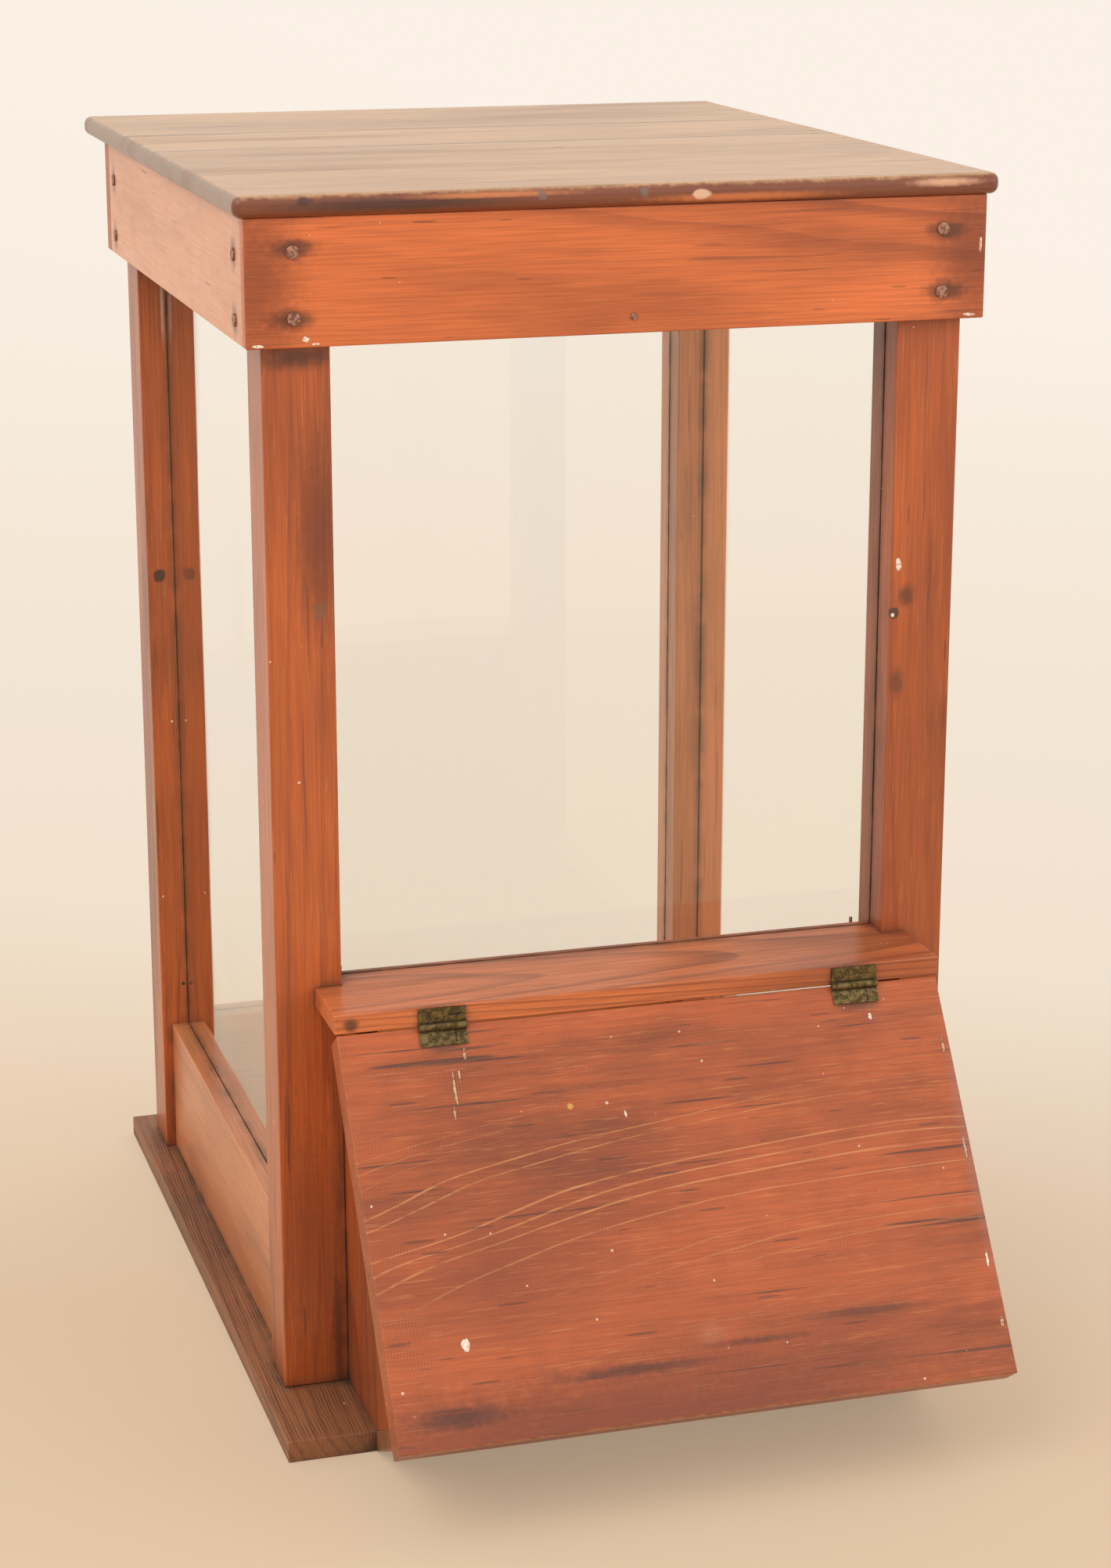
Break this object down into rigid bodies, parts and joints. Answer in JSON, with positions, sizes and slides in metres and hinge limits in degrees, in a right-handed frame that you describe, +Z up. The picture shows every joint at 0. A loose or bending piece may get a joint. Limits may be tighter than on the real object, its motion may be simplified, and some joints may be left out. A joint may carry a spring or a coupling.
{
  "type": "countertop display case",
  "caption": "Tall wooden countertop display case: four grooved posts hold glass panes above a base, with a sloping hinged bin lid at the front under a shelf.",
  "frame": {"origin": "middle of the case's width, between the four posts in depth, on the surface that the base rests on", "axes": "+Z up along the posts, +X to the right seen from the lid's side, -Y out through the lid"},
  "size_m": [0.401, 0.618, 0.649],
  "materials": {
    "pine_front": "satin",
    "pine_top": "satin",
    "pine_lid": "satin",
    "pine_base": "matte",
    "glass": "gloss",
    "brass": "aged",
    "nail_iron": "matte"
  },
  "bodies": {
    "case": {"base_board": "pine_base", "post_front_left": "pine_front", "post_front_right": "pine_front", "post_back_left": "pine_front", "post_back_right": "pine_front", "frieze_front": "pine_front", "frieze_back": "pine_front", "frieze_left": "pine_front", "frieze_right": "pine_front", "top_board_front": "pine_top", "top_board_middle": "pine_top", "top_board_back": "pine_top", "rail_left": "pine_front", "rail_right": "pine_front", "rail_back": "pine_front", "glass_left": "glass", "glass_right": "glass", "glass_back": "glass", "glass_front": "glass", "hinge_shelf": "pine_front", "cheek_left": "pine_front", "cheek_right": "pine_front", "bin_floor": "pine_base", "hinge_left_shelf_leaf": "brass", "hinge_left_pin": "brass", "hinge_right_shelf_leaf": "brass", "hinge_right_pin": "brass", "hinge_screws_shelf": "brass", "nails_frieze": "nail_iron", "nail_frieze_middle": "nail_iron", "brads_top": "nail_iron", "brads_base": "nail_iron", "brads_shelf": "nail_iron", "brads_cheeks": "nail_iron", "brads_bin_floor": "nail_iron"},
    "lid": {"bin_lid": "pine_lid", "hinge_left_lid_leaf": "brass", "hinge_right_lid_leaf": "brass", "hinge_screws_lid": "brass"}
  },
  "joints": [
    {"name": "lid_hinge", "type": "hinge", "parent": "case", "child": "lid", "pos_m": [0, -0.2461, 0.2275], "axis": [-1, 0, 0], "range_deg": [0, 140]}
  ]
}
